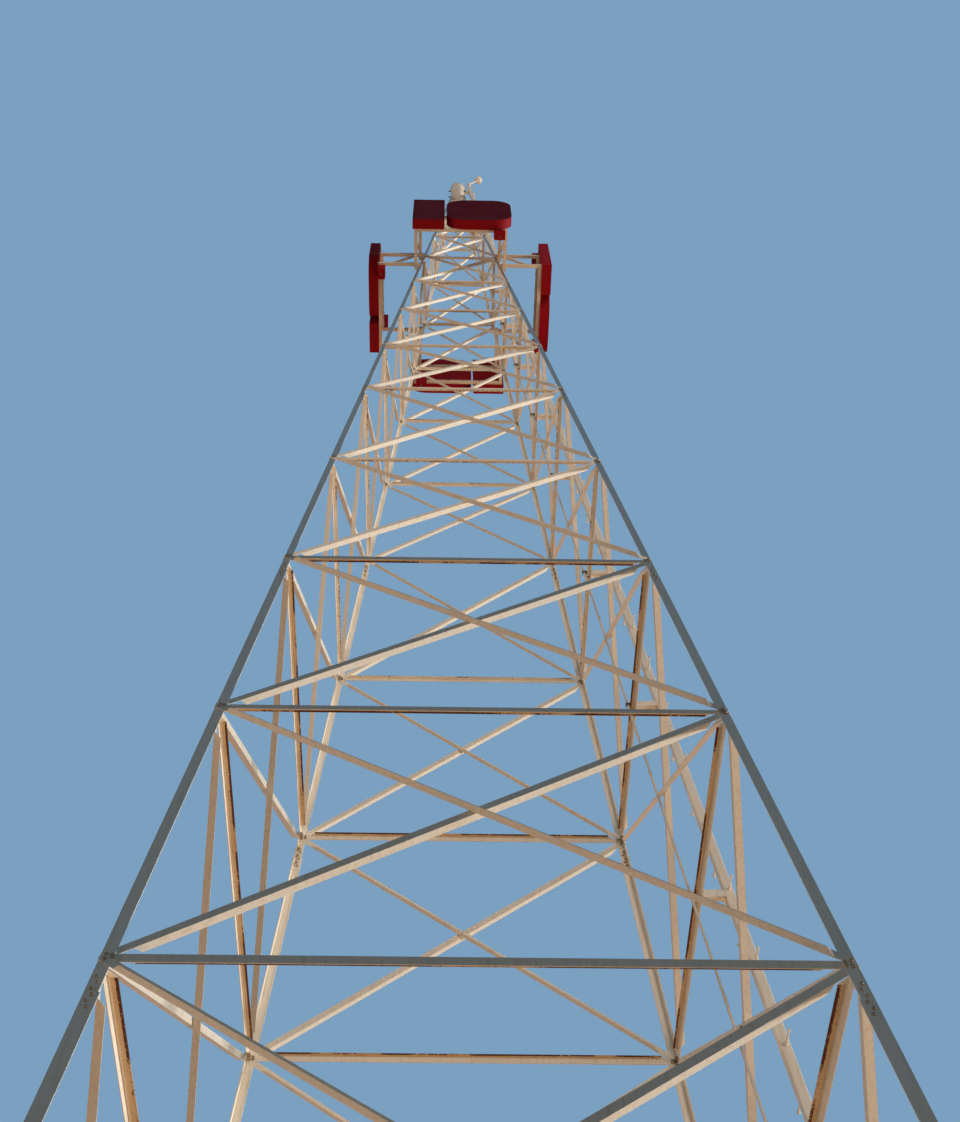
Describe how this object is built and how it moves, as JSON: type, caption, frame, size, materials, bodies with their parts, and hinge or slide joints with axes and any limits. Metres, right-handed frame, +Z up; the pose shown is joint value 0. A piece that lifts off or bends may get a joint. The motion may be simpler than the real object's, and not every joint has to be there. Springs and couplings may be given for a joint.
{
  "type": "radio mast",
  "caption": "Tall square lattice radio mast of bolted steel angles, tapering, with crossed bracing, a side climbing rail, raised signs on all sides and a drum and lamp on top.",
  "frame": {"origin": "middle of the underside of the front left leg's foot plate, at ground level", "axes": "+Z up, +X to the right seen from the front, -Y out of the front face; the climbing rail is on the +X face"},
  "size_m": [6.59, 6.59, 37.2513],
  "materials": {
    "cream_paint": "weathered",
    "red_enamel": "satin",
    "dark_cover": "matte",
    "lamp_glass": "gloss"
  },
  "bodies": {
    "root": {"foot_plates": "cream_paint", "front_left_leg": "cream_paint", "front_right_leg": "cream_paint", "back_right_leg": "cream_paint", "back_left_leg": "cream_paint", "front_bracing_1": "cream_paint", "front_bracing_2": "cream_paint", "front_bracing_3": "cream_paint", "front_bracing_4": "cream_paint", "right_bracing_1": "cream_paint", "right_bracing_2": "cream_paint", "right_bracing_3": "cream_paint", "right_bracing_4": "cream_paint", "back_bracing_1": "cream_paint", "back_bracing_2": "cream_paint", "back_bracing_3": "cream_paint", "back_bracing_4": "cream_paint", "left_bracing_1": "cream_paint", "left_bracing_2": "cream_paint", "left_bracing_3": "cream_paint", "left_bracing_4": "cream_paint", "climbing_rail": "cream_paint", "rail_brackets": "cream_paint", "power_conduit": "cream_paint", "conduit_clamps": "dark_cover", "front_square_sign": "red_enamel", "front_round_sign": "red_enamel", "front_sign_frame": "cream_paint", "right_square_sign": "red_enamel", "right_round_sign": "red_enamel", "right_sign_frame": "cream_paint", "back_square_sign": "red_enamel", "back_round_sign": "red_enamel", "back_sign_frame": "cream_paint", "left_square_sign": "red_enamel", "left_round_sign": "red_enamel", "left_sign_frame": "cream_paint", "power_boxes": "red_enamel", "cap_plate": "cream_paint", "top_drum": "cream_paint", "lamp_arm": "cream_paint", "lamp_globe": "lamp_glass"}
  },
  "joints": []
}
